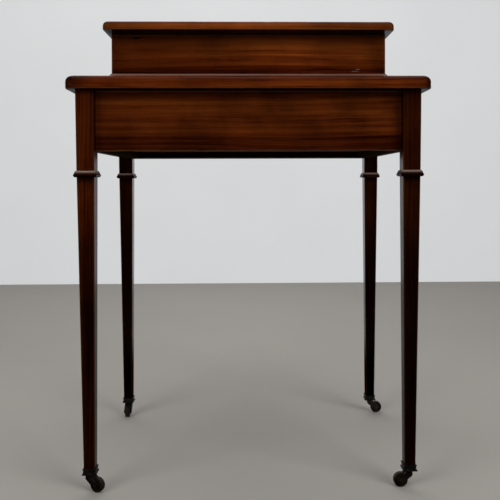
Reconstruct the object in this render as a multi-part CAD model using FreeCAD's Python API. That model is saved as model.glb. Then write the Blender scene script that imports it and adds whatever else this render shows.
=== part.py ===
import FreeCAD
import Part

import math
import os

from FreeCAD import Vector

# Bonheur du jour: a small mahogany writing desk on tapered legs with castors.
# Millimetres. X runs along the desk, +Y is its plain back, -Y the drawer side, +Z is up.
# The origin is on the floor, under the middle of the writing top.

# Writing top
TOP_WIDTH = 630.5
TOP_DEPTH = 482.0
TOP_THICK = 23.0
WRITING_HEIGHT = 722.0
TOP_SIDE_OVERHANG = 16.0
TOP_END_OVERHANG = 18.0
TOP_CORNER = 18.0
TOP_ROUND = 9.5
TOP_LOWER_ROUND = 3.0
LEATHER_THICK = 1.6
LEATHER_MARGIN = 42.0
LEATHER_REAR_MARGIN = 34.0

# Legs
LEG_TOP = 32.0
LEG_ABOVE_COLLAR = 30.5
LEG_BELOW_COLLAR = 30.2
LEG_FOOT = 19.6
FOOT_INSET = 2.8
LEG_ARRIS = 1.2
COLLAR_DROP = 41.2
COLLAR_RISE = 7.0
COLLAR_FALL = 4.2
COLLAR_PROUD = 4.9
COLLAR_LEDGE = 1.2

# Frame under the top
APRON_HEIGHT = 105.0
APRON_THICK = 13.0
APRON_ROUND = 3.0
GUIDE_THICK = 3.0
GUIDE_HEIGHT = 44.0
TENON_THICK = 6.0
TENON_LENGTH = 15.0
TENON_SHOULDER = 8.0
RAIL_DEPTH = 40.0
TOP_RAIL_HEIGHT = 14.0
BOTTOM_RAIL_HEIGHT = 16.0
RAIL_SETBACK = 2.0
RAIL_TENON_DEPTH = 9.0
RAIL_TENON_SETBACK = 3.5
RAIL_TENON_SHOULDER = 3.0
RUNNER_WIDTH = 20.0
STOP_WIDTH = 24.0
STOP_DEPTH = 14.0
STOP_HEIGHT = 4.5
STOP_FROM_MIDDLE = 150.0

# Superstructure
UPPER_END_SETBACK = 71.25
UPPER_DEPTH = 135.0
UPPER_HEIGHT = 79.5
UPPER_INSET = 13.0
UPPER_SIDE_THICK = 10.0
UPPER_BACK_THICK = 10.0
UPPER_FLOOR_THICK = 6.0
PARTITION_THICK = 8.0
UPPER_TOP_THICK = 15.0
UPPER_TOP_SIDE_OVERHANG = 7.75
UPPER_TOP_BACK_OVERHANG = 48.0
UPPER_TOP_FRONT_OVERHANG = 24.0
UPPER_TOP_CORNER = 10.0
UPPER_TOP_ROUND = 7.5
UPPER_TOP_LOWER_ROUND = 1.5
BASE_MOULD_PROUD = 7.5
BASE_MOULD_HEIGHT = 10.5
BASE_MOULD_FILLET = 3.0
BASE_MOULD_LEDGE = 1.0
SMALL_DRAWERS = ("left", "middle", "right")

# Drawers
DRAWER_GAP = 0.8
SLIDE_GAP = 0.3
FRIEZE_REAR_GAP = 10.0
FRIEZE_FRONT_THICK = 18.0
FRIEZE_SIDE_THICK = 10.0
FRIEZE_BOTTOM_THICK = 5.0
FRIEZE_TAILS = 3
SMALL_REAR_GAP = 3.0
SMALL_FRONT_THICK = 11.0
SMALL_SIDE_THICK = 6.0
SMALL_BOTTOM_THICK = 3.5
SMALL_TAILS = 3
BOTTOM_RISE = 6.0
BOTTOM_GROOVE = 3.0
SIDE_DROP = 4.0
BACK_DROP = 8.0
LAP_SKIN = 4.0
FRONT_ROUND = 1.0

# Knobs
KNOB_RADIUS = 9.0
KNOB_PROUD = 14.0
KNOB_SHANK_RADIUS = 2.5
KNOB_SHANK_LENGTH = 9.0
KNOB_FROM_MIDDLE = 165.0
SMALL_KNOB_SCALE = 0.72

# Screws
SCREW_RADIUS = 2.0
SCREW_HEAD_RADIUS = 4.0
SCREW_HEAD_HEIGHT = 2.4
SCREW_BITE = 14.0
TOP_SCREW_FRONT_MARGIN = 31.0
TOP_SCREW_REAR_MARGIN = 44.0
UPPER_SCREW_BITE = 4.0
UPPER_SCREW_FROM_MIDDLE = 160.0
UPPER_SCREW_SPACING = 70.0

# Castors
CUP_BASE = 30.0
CUP_HEIGHT = 11.0
CUP_FLOOR = 3.0
CUP_WALL = 1.0
CUP_RIM_PROUD = 2.9
CUP_RIM_HEIGHT = 3.2
CUP_BEAD_PROUD = 2.2
CUP_BEAD_HEIGHT = 1.8
WHEEL_RADIUS = 12.5
WHEEL_WIDTH = 10.0
WHEEL_HUB_RADIUS = 4.6
WHEEL_RIM = 3.2
WHEEL_DISH = 1.1
WHEEL_EDGE = 1.5
WHEEL_TRAIL = 15.0
WHEEL_SIDE_GAP = 0.4
WHEEL_RIM_GAP = 0.9
CHEEK_THICK = 2.6
CHEEK_BOSS_RADIUS = 5.2
NECK_RADIUS = 5.0
NECK_FLANGE_RADIUS = 7.0
NECK_FLANGE_HEIGHT = 1.8
NECK_DROP = 8.0
AXLE_RADIUS = 2.0
RIVET_RADIUS = 3.2
RIVET_HEIGHT = 1.2
PIN_RADIUS = 3.0
PIN_HEAD_RADIUS = 4.6
PIN_HEAD_HEIGHT = 1.2
PIN_POCKET_GAP = 0.8
RUNNING_FIT = 0.05
SWIVEL_GAP = 0.3

# Corners of the desk: side of the middle in X and in Y, and the castor's heading in degrees.
CORNERS = {
    "front_left": (-1, -1, 180),
    "front_right": (1, -1, 90),
    "back_left": (-1, 1, 0),
    "back_right": (1, 1, 155),
}

# Derived places
TOP_UNDER = WRITING_HEIGHT - TOP_THICK
APRON_BASE = TOP_UNDER - APRON_HEIGHT
COLLAR_MIDDLE = APRON_BASE - COLLAR_DROP
LEG_X = TOP_WIDTH / 2 - TOP_SIDE_OVERHANG - LEG_TOP / 2
LEG_Y = TOP_DEPTH / 2 - TOP_END_OVERHANG - LEG_TOP / 2
CASTOR_X = LEG_X - FOOT_INSET
CASTOR_Y = LEG_Y - FOOT_INSET
LEG_INNER_X = LEG_X - LEG_TOP / 2
LEG_INNER_Y = LEG_Y - LEG_TOP / 2
APRON_INNER_X = LEG_INNER_X + GUIDE_THICK
APRON_INNER_Y = LEG_INNER_Y + GUIDE_THICK
RAIL_FRONT_Y = -LEG_Y - LEG_TOP / 2 + RAIL_SETBACK
RAIL_REAR_Y = RAIL_FRONT_Y + RAIL_DEPTH
RUNNER_TOP = APRON_BASE + BOTTOM_RAIL_HEIGHT
KICKER_BASE = TOP_UNDER - TOP_RAIL_HEIGHT
LEG_END = CUP_BASE + CUP_FLOOR
UPPER_WIDTH = TOP_WIDTH - 2 * UPPER_END_SETBACK
UPPER_BACK_Y = TOP_DEPTH / 2 - UPPER_INSET - UPPER_TOP_BACK_OVERHANG
UPPER_FRONT_Y = UPPER_BACK_Y - UPPER_DEPTH
UPPER_TOP_BASE = WRITING_HEIGHT + UPPER_HEIGHT
UPPER_FLOOR_TOP = WRITING_HEIGHT + UPPER_FLOOR_THICK
BAY_COUNT = len(SMALL_DRAWERS)
BAY_INNER = UPPER_WIDTH - 2 * UPPER_SIDE_THICK - (BAY_COUNT - 1) * PARTITION_THICK
BAY_WIDTH = BAY_INNER / BAY_COUNT
BAY_PITCH = BAY_WIDTH + PARTITION_THICK
BAY_START = UPPER_SIDE_THICK - UPPER_WIDTH / 2
FORK_WIDTH = WHEEL_WIDTH + 2 * WHEEL_SIDE_GAP + 2 * CHEEK_THICK
NECK_TOP = CUP_BASE - SWIVEL_GAP


def keep(name, *solids):
    """Write one named piece, or a group of identical ones."""
    shape = solids[0] if len(solids) == 1 else Part.makeCompound(list(solids))
    shape.exportStep("parts/" + name + ".step")


def box(x0, x1, y0, y1, z0, z1):
    """Block between two corners, given in any order in X."""
    low = min(x0, x1)
    return Part.makeBox(abs(x1 - x0), y1 - y0, z1 - z0, Vector(low, y0, z0))


def peg(radius, x, y, z0, z1):
    """Upright round peg."""
    return Part.makeCylinder(radius, z1 - z0, Vector(x, y, z0))


def path(start, steps):
    """Edges in the XZ plane: a step is an end point, or an arc's middle and end points."""
    def point(pair):
        return Vector(pair[0], 0, pair[1])

    edges = []
    here = start
    for step in steps:
        if isinstance(step[0], tuple):
            middle, end = step
            edges.append(Part.Arc(point(here), point(middle), point(end)).toShape())
        else:
            end = step
            edges.append(Part.makeLine(point(here), point(end)))
        here = end
    return edges


def mitred(start, steps):
    """Solid of square section whose half width follows a path from its bottom to its top."""
    right = path(start, steps)
    left = [edge.mirror(Vector(0, 0, 0), Vector(1, 0, 0)) for edge in right]
    low = right[0].valueAt(right[0].FirstParameter)
    high = right[-1].valueAt(right[-1].LastParameter)
    ends = []
    for corner in (low, high):
        ends.append(Part.makeLine(corner, Vector(-corner.x, 0, corner.z)))
    outline = Part.Face(Part.Wire(Part.__sortEdges__(right + left + ends)))
    reach = 2 * outline.BoundBox.XLength
    along_y = outline.extrude(Vector(0, reach, 0))
    along_y.translate(Vector(0, -reach / 2, 0))
    along_x = along_y.copy()
    along_x.rotate(Vector(0, 0, 0), Vector(0, 0, 1), 90)
    return along_y.common(along_x).Solids[0]


def turned(start, steps):
    """Round solid turned about Z from a closed path."""
    outline = Part.Face(Part.Wire(path(start, steps + [start])))
    return outline.revolve(Vector(0, 0, 0), Vector(0, 0, 1), 360).Solids[0]


def prism(points, way):
    """Straight solid from a flat outline of corners."""
    return Part.Face(Part.makePolygon(points + points[:1])).extrude(way)


def rounded(shape, radius, wanted):
    """Fillet the edges whose bounding box passes a test."""
    edges = [edge for edge in shape.Edges if wanted(edge.BoundBox)]
    return shape.makeFillet(radius, edges)


def board_top(width, y0, y1, z0, z1, corner, upper_round, lower_round):
    """Table board with round corners in plan and rounded upper and lower arrises."""
    near = 0.01
    board = box(-width / 2, width / 2, y0, y1, z0, z1)
    board = rounded(board, corner, lambda b: b.ZLength > (z1 - z0) / 2)
    board = rounded(board, upper_round, lambda b: b.ZMin > z1 - near)
    return rounded(board, lower_round, lambda b: b.ZMax < z0 + near)


def lean(z):
    """How far the middle of a leg stands in from its place at the top."""
    return FOOT_INSET * (TOP_UNDER - z) / (TOP_UNDER - LEG_END)


def leg_inner(z):
    """How far the inner face of a leg, above its collar, stands in from its middle at the top."""
    drop = (TOP_UNDER - z) / (TOP_UNDER - COLLAR_MIDDLE)
    width = LEG_TOP + drop * (LEG_ABOVE_COLLAR - LEG_TOP)
    return lean(z) + width / 2


def tapered(z0, width0, z1, width1):
    """Tapered stretch of the leg at the +X, +Y corner, leaning in towards its foot."""
    rings = []
    for z, width in ((z0, width0), (z1, width1)):
        x = LEG_X - lean(z)
        y = LEG_Y - lean(z)
        half = width / 2
        turns = ((-half, -half), (half, -half), (half, half), (-half, half))
        rings.append([Vector(x + dx, y + dy, z) for dx, dy in turns])
    low, high = rings
    outlines = [low, high]
    for index in range(4):
        after = (index + 1) % 4
        outlines.append([low[index], low[after], high[after], high[index]])
    faces = [Part.Face(Part.makePolygon(points + points[:1])) for points in outlines]
    post = Part.Solid(Part.Shell(faces))
    return rounded(post, LEG_ARRIS, lambda b: b.ZLength > (z1 - z0) / 2)


def leg_blank():
    """Tapered square leg at the +X, +Y corner, stepped inside its collar."""
    foot_slope = (LEG_BELOW_COLLAR - LEG_FOOT) / (COLLAR_MIDDLE - CUP_BASE - CUP_HEIGHT)
    end = LEG_FOOT - foot_slope * (CUP_HEIGHT - CUP_FLOOR)
    lower = tapered(LEG_END, end, COLLAR_MIDDLE, LEG_BELOW_COLLAR)
    return lower.fuse(tapered(COLLAR_MIDDLE, LEG_ABOVE_COLLAR, TOP_UNDER, LEG_TOP))


def collar_blank():
    """Moulded ring: a weathered upper slope, a round nose and a flat underside close beneath it."""
    base = LEG_BELOW_COLLAR / 2
    nose = base + COLLAR_PROUD
    low = COLLAR_MIDDLE - COLLAR_FALL
    high = COLLAR_MIDDLE + COLLAR_RISE
    lip = COLLAR_RISE * 0.17
    top = LEG_ABOVE_COLLAR / 2 + COLLAR_LEDGE
    return mitred((base + COLLAR_PROUD * 0.5, low), [
        ((base + COLLAR_PROUD * 0.88, COLLAR_MIDDLE - COLLAR_FALL * 0.6), (nose, COLLAR_MIDDLE)),
        ((nose - lip * 0.25, COLLAR_MIDDLE + lip * 0.6), (nose - lip, COLLAR_MIDDLE + lip * 1.2)),
        ((top + COLLAR_PROUD * 0.35, COLLAR_MIDDLE + COLLAR_RISE * 0.6), (top, high)),
    ])


def cup_blank():
    """Square brass cup about the Z axis, with a bead at its mouth and a rim at its base."""
    wall = LEG_FOOT / 2 + CUP_WALL
    rim = LEG_FOOT / 2 + CUP_RIM_PROUD
    bead = LEG_FOOT / 2 + CUP_BEAD_PROUD
    mouth = CUP_BASE + CUP_HEIGHT
    rim_top = CUP_BASE + CUP_RIM_HEIGHT
    bead_base = mouth - CUP_BEAD_HEIGHT
    edge = CUP_RIM_HEIGHT / 2
    return mitred((rim - edge, CUP_BASE), [
        ((rim, CUP_BASE + edge), (rim - edge, rim_top)),
        (wall, rim_top),
        (wall, bead_base),
        ((bead, mouth - CUP_BEAD_HEIGHT / 2), (wall, mouth)),
    ])


def swivel_pin():
    """Riveted pin that a castor turns on, through the floor of its cup."""
    head_base = LEG_END + SWIVEL_GAP
    pin = peg(PIN_RADIUS, 0, 0, NECK_TOP - NECK_FLANGE_HEIGHT, head_base)
    return pin.fuse(peg(PIN_HEAD_RADIUS, 0, 0, head_base, head_base + PIN_HEAD_HEIGHT))


def pin_pocket():
    """Room for the pin's head in the end of a leg."""
    top = LEG_END + SWIVEL_GAP + PIN_HEAD_HEIGHT + PIN_POCKET_GAP
    return peg(PIN_HEAD_RADIUS + PIN_POCKET_GAP, 0, 0, LEG_END, top)


def tangent(x, z, side):
    """Point where a line from (x, z) touches the boss round the axle, on one side."""
    away_x = x - WHEEL_TRAIL
    away_z = z - WHEEL_RADIUS
    turn = math.atan2(away_z, away_x) + side * math.acos(CHEEK_BOSS_RADIUS / math.hypot(away_x, away_z))
    return boss_point(turn)


def boss_point(turn):
    """Point on the boss round the axle."""
    x = WHEEL_TRAIL + CHEEK_BOSS_RADIUS * math.cos(turn)
    return (x, WHEEL_RADIUS + CHEEK_BOSS_RADIUS * math.sin(turn))


def axle_cylinder(radius, half_length):
    """Cylinder along a castor's axle, which lies across X."""
    start = Vector(WHEEL_TRAIL, -half_length, WHEEL_RADIUS)
    return Part.makeCylinder(radius, 2 * half_length, start, Vector(0, 1, 0))


def horn_blank():
    """Castor horn with its swivel pin, trailing along +X from the Z axis."""
    flange_base = NECK_TOP - NECK_FLANGE_HEIGHT
    shoulder = (-NECK_RADIUS, NECK_TOP - NECK_DROP)
    crown = (NECK_RADIUS, flange_base)
    outline = path((-NECK_RADIUS, flange_base), [
        shoulder,
        tangent(*shoulder, 1),
        (boss_point(-math.pi / 4), tangent(*crown, -1)),
        crown,
        (-NECK_RADIUS, flange_base),
    ])
    horn = Part.Face(Part.Wire(outline)).extrude(Vector(0, FORK_WIDTH, 0))
    horn.translate(Vector(0, -FORK_WIDTH / 2, 0))
    horn = horn.cut(axle_cylinder(WHEEL_RADIUS + WHEEL_RIM_GAP, WHEEL_WIDTH / 2 + WHEEL_SIDE_GAP))
    horn = horn.cut(axle_cylinder(AXLE_RADIUS, FORK_WIDTH))
    horn = horn.fuse(peg(NECK_FLANGE_RADIUS, 0, 0, flange_base, NECK_TOP))
    return horn.fuse(swivel_pin()).removeSplitter().Solids[0]


def dome_middle(half, rise, top):
    """Point half way up a round dome that crosses the axis square to it."""
    ball = (half * half + rise * rise) / (2 * rise)
    turn = math.asin(half / ball) / 2
    return (ball * math.sin(turn), top - ball + ball * math.cos(turn))


def axle_blank():
    """Axle riveted over at both cheeks of a horn."""
    half = FORK_WIDTH / 2
    rivet = turned((0, 0), [
        (RIVET_RADIUS, 0),
        (dome_middle(RIVET_RADIUS, RIVET_HEIGHT, RIVET_HEIGHT), (0, RIVET_HEIGHT)),
    ])
    axle = axle_cylinder(AXLE_RADIUS, half)
    for side in (-1, 1):
        head = rivet.copy()
        head.rotate(Vector(0, 0, 0), Vector(1, 0, 0), -90 * side)
        head.translate(Vector(WHEEL_TRAIL, side * half, WHEEL_RADIUS))
        axle = axle.fuse(head)
    return axle.removeSplitter().Solids[0]


def wheel_blank():
    """Dished brass wheel with a rounded tread, on a castor's axle."""
    half = WHEEL_WIDTH / 2
    web = half - WHEEL_DISH
    bore = AXLE_RADIUS + RUNNING_FIT
    inner = WHEEL_RADIUS - WHEEL_RIM
    tread = half - WHEEL_EDGE
    corner = WHEEL_RADIUS - WHEEL_EDGE
    diagonal = WHEEL_EDGE * math.sqrt(0.5)
    wheel = turned((bore, -half), [
        (WHEEL_HUB_RADIUS, -half),
        (WHEEL_HUB_RADIUS + WHEEL_DISH, -web),
        (inner - WHEEL_DISH, -web),
        (inner, -half),
        (corner, -half),
        ((corner + diagonal, -tread - diagonal), (WHEEL_RADIUS, -tread)),
        (WHEEL_RADIUS, tread),
        ((corner + diagonal, tread + diagonal), (corner, half)),
        (inner, half),
        (inner - WHEEL_DISH, web),
        (WHEEL_HUB_RADIUS + WHEEL_DISH, web),
        (WHEEL_HUB_RADIUS, half),
        (bore, half),
    ])
    wheel.rotate(Vector(0, 0, 0), Vector(1, 0, 0), 90)
    wheel.translate(Vector(WHEEL_TRAIL, 0, WHEEL_RADIUS))
    return wheel


def at(shape, x, y, heading=0.0):
    """Copy of a piece made about the Z axis, turned and set in its place."""
    copy = shape.copy()
    copy.rotate(Vector(0, 0, 0), Vector(0, 0, 1), heading)
    copy.translate(Vector(x, y, 0))
    return copy


def at_corner(shape, side, end):
    """Copy of a piece from the +X, +Y corner at another corner."""
    copy = shape.copy()
    if side < 0:
        copy = copy.mirror(Vector(0, 0, 0), Vector(1, 0, 0))
    if end < 0:
        copy = copy.mirror(Vector(0, 0, 0), Vector(0, 1, 0))
    return copy


def apron_tenon_heights():
    """Heights of the back apron's low tenons and of the side aprons' high ones."""
    middle = APRON_BASE + APRON_HEIGHT / 2
    low = (APRON_BASE + TENON_SHOULDER, middle - TENON_SHOULDER / 2)
    high = (middle + TENON_SHOULDER / 2, TOP_UNDER - TENON_SHOULDER)
    return low, high


def back_apron_blank():
    """Back apron with a tenon at each end."""
    near = 0.01
    inner = APRON_INNER_Y
    outer = inner + APRON_THICK
    reach = LEG_X - leg_inner(APRON_BASE)
    apron = box(-reach, reach, inner, outer, APRON_BASE, TOP_UNDER)
    apron = rounded(apron, APRON_ROUND, lambda b: b.ZMax < APRON_BASE + near and b.YMin > outer - near)
    low, high = apron_tenon_heights()
    middle = (inner + outer) / 2
    tenons = []
    for side in (-1, 1):
        root = side * (LEG_INNER_X - TENON_LENGTH)
        tip = side * (LEG_INNER_X + TENON_LENGTH)
        y0 = middle - TENON_THICK / 2
        tenons.append(box(root, tip, y0, y0 + TENON_THICK, *low))
    return apron, tenons


def side_apron_blank(side):
    """Side apron with a tenon at each end."""
    near = 0.01
    inner = side * APRON_INNER_X
    outer = side * (APRON_INNER_X + APRON_THICK)
    reach = LEG_Y - leg_inner(APRON_BASE)
    apron = box(inner, outer, -reach, reach, APRON_BASE, TOP_UNDER)
    apron = rounded(apron, APRON_ROUND,
                    lambda b: b.ZMax < APRON_BASE + near and abs((b.XMin + b.XMax) / 2 - outer) < near)
    low, high = apron_tenon_heights()
    middle = (inner + outer) / 2
    tenons = []
    for end in (-1, 1):
        x0 = middle - TENON_THICK / 2
        ends = sorted((end * (LEG_INNER_Y - TENON_LENGTH), end * (LEG_INNER_Y + TENON_LENGTH)))
        tenons.append(box(x0, x0 + TENON_THICK, *ends, *high))
    return apron, tenons


def rail_blank(z0, z1):
    """Front rail with a tenon at each end."""
    reach = LEG_X - leg_inner(APRON_BASE)
    rail = box(-reach, reach, RAIL_FRONT_Y, RAIL_REAR_Y, z0, z1)
    tenons = []
    for side in (-1, 1):
        root = side * (LEG_INNER_X - TENON_LENGTH)
        tip = side * (LEG_INNER_X + TENON_LENGTH)
        y0 = RAIL_FRONT_Y + RAIL_TENON_SETBACK
        tenons.append(box(root, tip, y0, y0 + RAIL_TENON_DEPTH,
                          z0 + RAIL_TENON_SHOULDER, z1 - RAIL_TENON_SHOULDER))
    return rail, tenons


def make_frame():
    """Legs and collars, with the aprons and rails tenoned into the legs."""
    blank = leg_blank()
    bored = blank.cut(at(pin_pocket(), CASTOR_X, CASTOR_Y))
    legs = {}
    for corner, (side, end, heading) in CORNERS.items():
        legs[corner] = at_corner(bored, side, end)
    whole_legs = Part.makeCompound(list(legs.values()))
    boards = {
        "back_apron": back_apron_blank(),
        "left_apron": side_apron_blank(-1),
        "right_apron": side_apron_blank(1),
        "front_top_rail": rail_blank(KICKER_BASE, TOP_UNDER),
        "front_bottom_rail": rail_blank(APRON_BASE, RUNNER_TOP),
    }
    for name, (board, tenons) in boards.items():
        board = board.cut(whole_legs)
        for tenon in tenons:
            board = board.fuse(tenon)
        keep(name, board.removeSplitter().Solids[0])
        for corner in legs:
            for tenon in tenons:
                legs[corner] = legs[corner].cut(tenon)
    inset = lean(COLLAR_MIDDLE)
    ring = at(collar_blank(), LEG_X - inset, LEG_Y - inset).cut(blank)
    collars = []
    for corner, (side, end, heading) in CORNERS.items():
        keep("leg_" + corner, legs[corner].Solids[0])
        collars.append(at_corner(ring, side, end).Solids[0])
    keep("leg_collars", *collars)


def make_castors():
    """A cup on each leg, and the horn, axle and wheel that turn under it."""
    cup = cup_blank().cut(peg(PIN_RADIUS + RUNNING_FIT, 0, 0, CUP_BASE, LEG_END))
    cup = at(cup, CASTOR_X, CASTOR_Y).cut(leg_blank())
    pieces = {
        "castor_horn_": horn_blank(),
        "castor_axle_": axle_blank(),
        "castor_wheel_": wheel_blank(),
    }
    for corner, (side, end, heading) in CORNERS.items():
        keep("castor_cup_" + corner, at_corner(cup, side, end).Solids[0])
        for name, piece in pieces.items():
            keep(name + corner, at(piece, side * CASTOR_X, end * CASTOR_Y, heading).Solids[0])


def make_drawer_carriage():
    """Runners, guides, kickers and stops that carry the frieze drawer."""
    runners = []
    guides = []
    kickers = []
    stops = []
    screws = screw_set()
    stop_y = RAIL_FRONT_Y + FRIEZE_FRONT_THICK + SLIDE_GAP
    for side in (-1, 1):
        outer = side * LEG_INNER_X
        inner = side * (LEG_INNER_X - RUNNER_WIDTH)
        runners.append(box(inner, outer, RAIL_REAR_Y, APRON_INNER_Y, APRON_BASE, RUNNER_TOP))
        guides.append(box(outer, side * APRON_INNER_X, RAIL_REAR_Y, LEG_INNER_Y,
                          APRON_BASE, RUNNER_TOP + GUIDE_HEIGHT))
        kicker = box(inner, outer, RAIL_REAR_Y, APRON_INNER_Y, KICKER_BASE, TOP_UNDER)
        kickers.append(kicker.cut(Part.makeCompound(screws)).Solids[0])
        middle = side * STOP_FROM_MIDDLE
        stops.append(box(middle - STOP_WIDTH / 2, middle + STOP_WIDTH / 2,
                         stop_y, stop_y + STOP_DEPTH, RUNNER_TOP, RUNNER_TOP + STOP_HEIGHT))
    keep("drawer_runners", *runners)
    keep("drawer_guides", *guides)
    keep("drawer_kickers", *kickers)
    keep("drawer_stops", *stops)
    keep("top_screws", *screws)


def screw(x, y, z0, z1):
    """Upright screw with a flat head at its lower end."""
    shank = peg(SCREW_RADIUS, x, y, z0 + SCREW_HEAD_HEIGHT, z1)
    head = Part.makeCone(SCREW_HEAD_RADIUS, SCREW_RADIUS, SCREW_HEAD_HEIGHT, Vector(x, y, z0))
    return head.fuse(shank).removeSplitter().Solids[0]


def screw_set():
    """Screws up through the kickers that hold the writing top."""
    middle = LEG_INNER_X - RUNNER_WIDTH / 2
    first = RAIL_REAR_Y + TOP_SCREW_FRONT_MARGIN
    last = APRON_INNER_Y - TOP_SCREW_REAR_MARGIN
    screws = []
    for side in (-1, 1):
        for y in (first, (first + last) / 2, last):
            screws.append(screw(side * middle, y, KICKER_BASE, TOP_UNDER + SCREW_BITE))
    return screws


def upper_screw_set():
    """Screws up through the writing top that hold the superstructure."""
    middle = UPPER_BACK_Y - UPPER_DEPTH / 2
    screws = []
    for side in (-1, 1):
        for row in (-0.5, 0.5):
            screws.append(screw(side * UPPER_SCREW_FROM_MIDDLE, middle + row * UPPER_SCREW_SPACING,
                                TOP_UNDER, WRITING_HEIGHT + UPPER_SCREW_BITE))
    return screws


def make_writing_top():
    """Writing top with its sunk leather."""
    half = TOP_DEPTH / 2
    top = board_top(TOP_WIDTH, -half, half, TOP_UNDER, WRITING_HEIGHT,
                    TOP_CORNER, TOP_ROUND, TOP_LOWER_ROUND)
    reach = TOP_WIDTH / 2 - LEATHER_MARGIN
    leather = box(-reach, reach, LEATHER_MARGIN - half, UPPER_FRONT_Y - LEATHER_REAR_MARGIN,
                  WRITING_HEIGHT - LEATHER_THICK, WRITING_HEIGHT)
    top = top.cut(leather)
    top = top.cut(Part.makeCompound(screw_set() + upper_screw_set()))
    keep("writing_top", top.Solids[0])
    keep("writing_leather", leather)


def base_moulding():
    """Bevelled strips round the foot of the superstructure, mitred at its back corners."""
    half = UPPER_WIDTH / 2
    outer = half + BASE_MOULD_PROUD
    back = UPPER_BACK_Y + BASE_MOULD_PROUD
    section = [
        (0, 0),
        (BASE_MOULD_PROUD, 0),
        (BASE_MOULD_PROUD, BASE_MOULD_FILLET),
        (BASE_MOULD_LEDGE, BASE_MOULD_HEIGHT),
        (0, BASE_MOULD_HEIGHT),
    ]
    back_plan = [(-half, UPPER_BACK_Y), (half, UPPER_BACK_Y), (outer, back), (-outer, back)]
    back_section = [Vector(-outer, UPPER_BACK_Y + out, WRITING_HEIGHT + up) for out, up in section]
    strips = [mitred_strip(back_section, Vector(2 * outer, 0, 0), back_plan)]
    for side in (-1, 1):
        plan = [(side * half, UPPER_FRONT_Y), (side * outer, UPPER_FRONT_Y),
                (side * outer, back), (side * half, UPPER_BACK_Y)]
        end = [Vector(side * (half + out), UPPER_FRONT_Y, WRITING_HEIGHT + up) for out, up in section]
        strips.append(mitred_strip(end, Vector(0, back - UPPER_FRONT_Y, 0), plan))
    return strips


def mitred_strip(section, way, plan):
    """Strip of moulding, cut to its outline in plan."""
    corners = [Vector(x, y, WRITING_HEIGHT) for x, y in plan]
    return prism(section, way).common(prism(corners, Vector(0, 0, BASE_MOULD_HEIGHT))).Solids[0]


def make_superstructure():
    """Low case of drawers that stands along the back of the writing top."""
    half = UPPER_WIDTH / 2
    inner = half - UPPER_SIDE_THICK
    back_inner = UPPER_BACK_Y - UPPER_BACK_THICK
    screws = upper_screw_set()
    floor = box(-inner, inner, UPPER_FRONT_Y, back_inner, WRITING_HEIGHT, UPPER_FLOOR_TOP)
    keep("upper_floor", floor.cut(Part.makeCompound(screws)).Solids[0])
    keep("upper_screws", *screws)
    keep("upper_back", box(-half, half, back_inner, UPPER_BACK_Y, WRITING_HEIGHT, UPPER_TOP_BASE))
    for name, side in (("left", -1), ("right", 1)):
        keep("upper_" + name + "_side",
             box(side * inner, side * half, UPPER_FRONT_Y, back_inner, WRITING_HEIGHT, UPPER_TOP_BASE))
    for name, gap in (("left", 1), ("right", 2)):
        x0 = BAY_START + gap * BAY_PITCH - PARTITION_THICK
        keep("upper_" + name + "_partition",
             box(x0, x0 + PARTITION_THICK, UPPER_FRONT_Y, back_inner, UPPER_FLOOR_TOP, UPPER_TOP_BASE))
    keep("upper_base_moulding", *base_moulding())
    keep("upper_top", board_top(UPPER_WIDTH + 2 * UPPER_TOP_SIDE_OVERHANG,
                                UPPER_FRONT_Y - UPPER_TOP_FRONT_OVERHANG,
                                UPPER_BACK_Y + UPPER_TOP_BACK_OVERHANG,
                                UPPER_TOP_BASE, UPPER_TOP_BASE + UPPER_TOP_THICK,
                                UPPER_TOP_CORNER, UPPER_TOP_ROUND, UPPER_TOP_LOWER_ROUND))


def knob_blank(scale):
    """Turned brass knob that points along -Y, with its screwed shank behind it."""
    radius = KNOB_RADIUS * scale
    proud = KNOB_PROUD * scale
    rose = radius * 0.8
    stem = radius * 0.42
    crown = radius * 0.62
    rise = proud * 0.08
    knob = turned((0, -KNOB_SHANK_LENGTH), [
        (KNOB_SHANK_RADIUS, -KNOB_SHANK_LENGTH),
        (KNOB_SHANK_RADIUS, 0),
        (rose, 0),
        ((rose * 0.94, proud * 0.11), (rose * 0.7, proud * 0.15)),
        ((stem, proud * 0.3), (stem * 1.15, proud * 0.45)),
        ((radius, proud * 0.7), (crown, proud - rise)),
        (dome_middle(crown, rise, proud), (0, proud)),
    ])
    knob.rotate(Vector(0, 0, 0), Vector(1, 0, 0), 90)
    return knob


def tail(x0, x1, y_root, lap, z_middle, pitch):
    """One dovetail on a drawer side, wider at its tip."""
    tip_y = y_root - lap
    root_half = pitch * 0.22
    tip_half = pitch * 0.33
    corners = [(y_root, -root_half), (tip_y, -tip_half), (tip_y, tip_half), (y_root, root_half)]
    points = [Vector(min(x0, x1), y, z_middle + z) for y, z in corners]
    return prism(points, Vector(abs(x1 - x0), 0, 0))


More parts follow.
